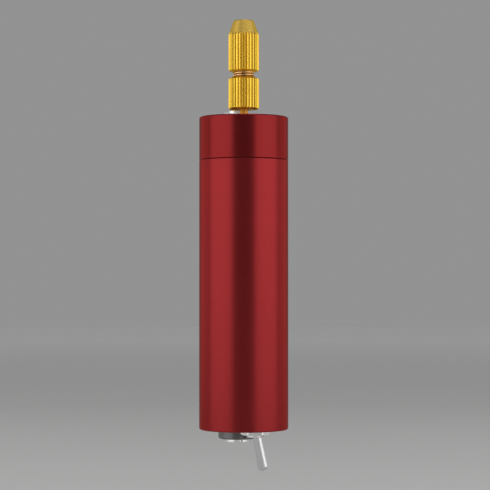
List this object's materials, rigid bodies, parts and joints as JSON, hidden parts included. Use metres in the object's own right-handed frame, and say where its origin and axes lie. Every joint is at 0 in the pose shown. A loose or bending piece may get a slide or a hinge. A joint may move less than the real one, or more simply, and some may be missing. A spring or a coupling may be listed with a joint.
{
  "type": "electric pin vise drill",
  "caption": "Pen-sized electric hobby drill: red turned aluminium tube, brass collet chuck, toggle switch and DC socket.",
  "frame": {"origin": "centre of the tube's rear face, on the spindle axis", "axes": "+Z along the spindle towards the chuck; -Y is the side nearest the toggle switch; +X to its right"},
  "size_m": [0.028, 0.028, 0.1412],
  "materials": {
    "red_anodised": "satin red anodised, finely turned",
    "red_anodised_cap": "satin red anodised, slightly deeper",
    "screw_steel": "bright plated",
    "motor_steel": "zinc plated",
    "magnet": "sintered ferrite, matt",
    "spring_steel": "drawn",
    "bronze": "sintered, oiled",
    "black_nylon": "moulded",
    "tinned_brass": "tinned",
    "copper": "bare copper",
    "carbon": "pressed carbon",
    "shaft_steel": "ground",
    "core_steel": "laminated, varnished",
    "enamelled_copper": "enamelled winding",
    "white_nylon": "moulded",
    "sleeve_brass": "polished",
    "brass": "turned and knurled",
    "nickel": "nickel plated, bright",
    "zinc_steel": "zinc plated",
    "phenolic": "moulded phenolic",
    "lever_chrome": "polished",
    "black_nut": "black nickel, satin",
    "solder": "dull tin",
    "red_pvc": "soft PVC",
    "black_pvc": "soft PVC"
  },
  "bodies": {
    "housing": {"body_tube": "red_anodised", "front_cap": "red_anodised_cap", "cap_screws": "screw_steel", "motor_can": "motor_steel", "motor_magnets": "magnet", "magnet_clips": "spring_steel", "front_bearing": "bronze", "rear_bearing": "bronze", "motor_end_cap": "black_nylon", "motor_terminals": "tinned_brass", "brush_arms": "copper", "brushes": "carbon", "switch_bushing": "nickel", "switch_outer_nut": "nickel", "switch_lock_washer": "nickel", "switch_inner_nut": "nickel", "switch_frame": "zinc_steel", "switch_body": "phenolic", "switch_terminals": "tinned_brass", "jack_barrel": "nickel", "jack_ring_nut": "black_nut", "jack_insulator": "black_nylon", "jack_pin": "nickel", "jack_sleeve_contact": "tinned_brass", "solder_joints": "solder", "red_jumper_wire": "red_pvc", "red_motor_wire": "red_pvc", "black_motor_wire": "black_pvc"},
    "spindle": {"rotor_shaft": "shaft_steel", "armature_core": "core_steel", "armature_windings": "enamelled_copper", "commutator_hub": "black_nylon", "commutator": "copper", "thrust_washers": "white_nylon", "shaft_sleeve": "sleeve_brass", "chuck_body": "brass"},
    "collet": {"chuck_collet": "brass"},
    "nut": {"chuck_nut": "brass"},
    "lever": {"switch_lever": "lever_chrome", "switch_plunger": "white_nylon", "plunger_spring": "spring_steel"},
    "rocker": {"switch_rocker": "copper"}
  },
  "joints": [
    {"name": "spindle_spin", "type": "hinge", "parent": "housing", "child": "spindle", "pos_m": [0, 0, 0], "axis": [0, 0, 1], "continuous": true},
    {"name": "collet_slide", "type": "slide", "parent": "spindle", "child": "collet", "axis": [0, 0, 1], "range_m": [0, 0.00375]},
    {"name": "chuck_nut_turn", "type": "hinge", "parent": "collet", "child": "nut", "pos_m": [0, 0, 0], "axis": [0, 0, 1], "range_deg": [0, 1802]},
    {"name": "lever_swing", "type": "hinge", "parent": "housing", "child": "lever", "pos_m": [0.00355, -0.0049, 0.0012], "axis": [-0.506, 0.8625, 0], "range_deg": [0, 25]},
    {"name": "rocker_tilt", "type": "hinge", "parent": "housing", "child": "rocker", "pos_m": [0.00355, -0.0049, 0.0108], "axis": [-0.506, 0.8625, 0], "range_deg": [-16.1, 0]}
  ],
  "couplings": [
    {"joint": "chuck_nut_turn", "follows": "collet_slide", "rad_per_m": 8377.6},
    {"joint": "rocker_tilt", "follows": "lever_swing", "ratio": -0.64}
  ]
}
